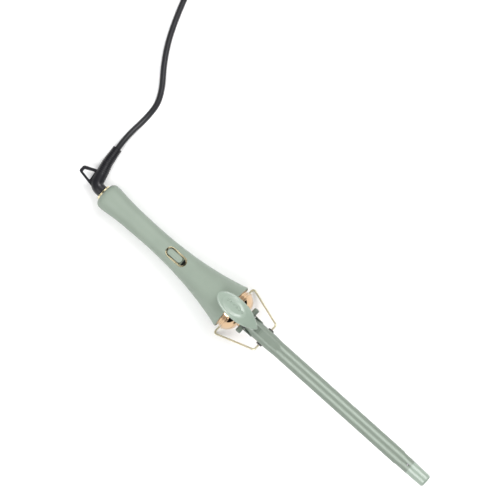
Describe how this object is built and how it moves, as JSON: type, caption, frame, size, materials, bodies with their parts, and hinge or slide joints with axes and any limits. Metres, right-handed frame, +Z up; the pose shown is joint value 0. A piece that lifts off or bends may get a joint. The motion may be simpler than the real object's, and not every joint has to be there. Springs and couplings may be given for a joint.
{
  "type": "curling iron",
  "caption": "Slim curling iron with a flared handle, sprung barrel clamp with thumb pad, folding wire stand, slide switch, swivelling cord and two-pin plug.",
  "frame": {"origin": "on the surface the iron rests on, under the middle of the iron's own length and width (cord, boot and plug left out)", "axes": "+X from the cord end to the tip of the barrel, +Z up from the surface on the thumb pad's side, +Y to the left seen from the handle; the iron lies nose-up by 3.85 degrees on the rim of its bell and its rear shoulder"},
  "size_m": [0.4653, 0.3541, 0.0508],
  "materials": {
    "sage_plastic": "satin",
    "sage_metal": "satin",
    "mint_plastic": "satin",
    "rose_gold": "polished",
    "pale_gold": "satin",
    "wire_gold": "polished",
    "dark_steel": "satin",
    "steel": "brushed",
    "black_plastic": "matte",
    "aluminium": "cast",
    "ceramic": "matte",
    "film": "glossy",
    "board": "satin",
    "copper": "plain",
    "lead_sleeve": "matte",
    "boot_rubber": "matte",
    "cord_rubber": "matte",
    "zinc": "plain"
  },
  "bodies": {
    "iron": {"handle_upper_shell": "sage_plastic", "handle_lower_shell": "sage_plastic", "handle_screws": "zinc", "rear_trim_ring": "pale_gold", "front_collar": "rose_gold", "barrel_insulator": "black_plastic", "barrel_tube": "sage_metal", "cool_tip": "mint_plastic", "tip_rivet": "steel", "heater_shoes": "aluminium", "heating_stones": "ceramic", "electrode_strips": "copper", "insulating_film": "film", "heater_leads": "lead_sleeve", "thermostat": "ceramic", "thermal_fuse": "zinc", "switch_frame": "pale_gold", "slide_switch": "black_plastic", "circuit_board": "board", "board_components": "black_plastic", "supply_leads": "lead_sleeve", "swivel_housing": "black_plastic", "swivel_cap": "black_plastic", "contact_blades": "copper", "hinge_saddle": "steel", "saddle_screw": "zinc", "hinge_pin": "steel", "clamp_spring": "steel", "rest_bushes": "dark_steel"},
    "clamp": {"clamp": "sage_metal", "thumb_pad": "mint_plastic", "pad_screws": "zinc"},
    "stand": {"wire_rest": "wire_gold"},
    "switch": {"switch_slider": "sage_plastic"},
    "cord_set": {"swivel_spindle": "boot_rubber", "slip_rings": "copper", "cord_boot": "boot_rubber", "cord": "cord_rubber", "cord_coil": "cord_rubber", "cord_tail": "cord_rubber", "plug_relief": "cord_rubber", "plug_body": "cord_rubber", "pin_sleeves": "black_plastic", "plug_pins": "zinc"}
  },
  "joints": [
    {"name": "clamp_hinge", "type": "hinge", "parent": "iron", "child": "clamp", "pos_m": [-0.0187, 0, 0.03192], "axis": [0, -1, 0], "range_deg": [0, 12], "stiffness_Nm_per_rad": 0.25, "springref_deg": -34.38},
    {"name": "stand_hinge", "type": "hinge", "parent": "iron", "child": "stand", "pos_m": [0.00228, 0, 0.02251], "axis": [0, -1, 0], "range_deg": [0, 95]},
    {"name": "switch_slide", "type": "slide", "parent": "iron", "child": "switch", "axis": [0.9977, 0, 0.0672], "range_m": [0, 0.0032]},
    {"name": "cord_swivel", "type": "hinge", "parent": "iron", "child": "cord_set", "pos_m": [-0.18432, 0, 0.01175], "axis": [0.9977, 0, 0.0672], "continuous": true}
  ]
}
